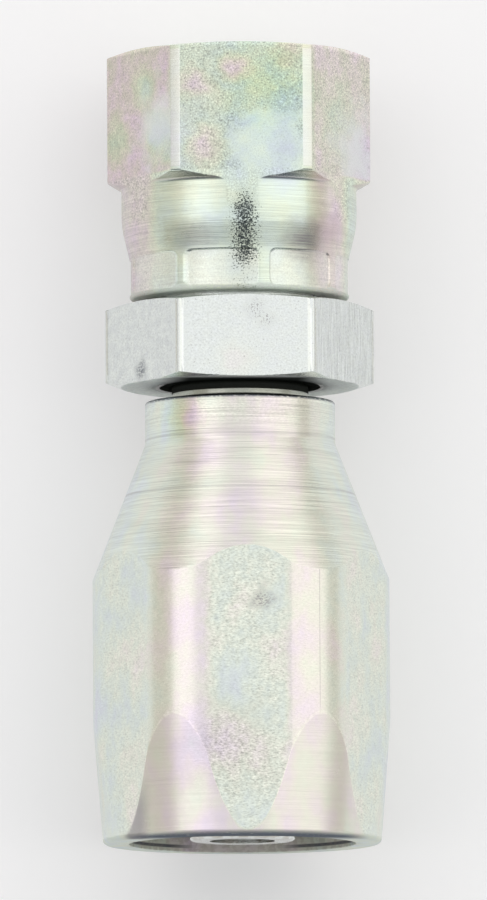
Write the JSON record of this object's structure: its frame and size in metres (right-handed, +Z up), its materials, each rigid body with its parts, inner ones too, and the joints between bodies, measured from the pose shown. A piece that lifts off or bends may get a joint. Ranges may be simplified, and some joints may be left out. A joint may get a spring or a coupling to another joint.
{
  "type": "reusable hose fitting",
  "caption": "Straight screw-together hose end: hexagonal socket with a grip thread, nipple with a wrench hexagon and tail, and a female swivel nut with a crimped skirt.",
  "frame": {"origin": "on the ground, below the middle of the fitting's length and its axis", "axes": "+Z up, +Y along the axis from the hose end to the swivel nut, +X to the right; the fitting lies on one flat of its socket"},
  "size_m": [0.0282, 0.0754, 0.0265],
  "materials": {
    "socket_zinc": "zinc plate with a clear iridescent chromate, turned cone and drawn flats",
    "nipple_zinc": "zinc plate with a clear chromate, satin",
    "nut_zinc": "zinc plate with a clear iridescent chromate, speckled flats and turned skirt"
  },
  "bodies": {
    "socket": {"socket": "socket_zinc"},
    "nipple": {"nipple": "nipple_zinc"},
    "swivel_nut": {"swivel_nut": "nut_zinc"}
  },
  "joints": [
    {"name": "nipple_unscrew", "type": "slide", "parent": "socket", "child": "nipple", "axis": [0, 1, 0], "range_m": [0, 0.00988]},
    {"name": "nut_swivel", "type": "hinge", "parent": "nipple", "child": "swivel_nut", "pos_m": [0, 0.026, 0.01325], "axis": [0, 1, 0], "continuous": true}
  ]
}
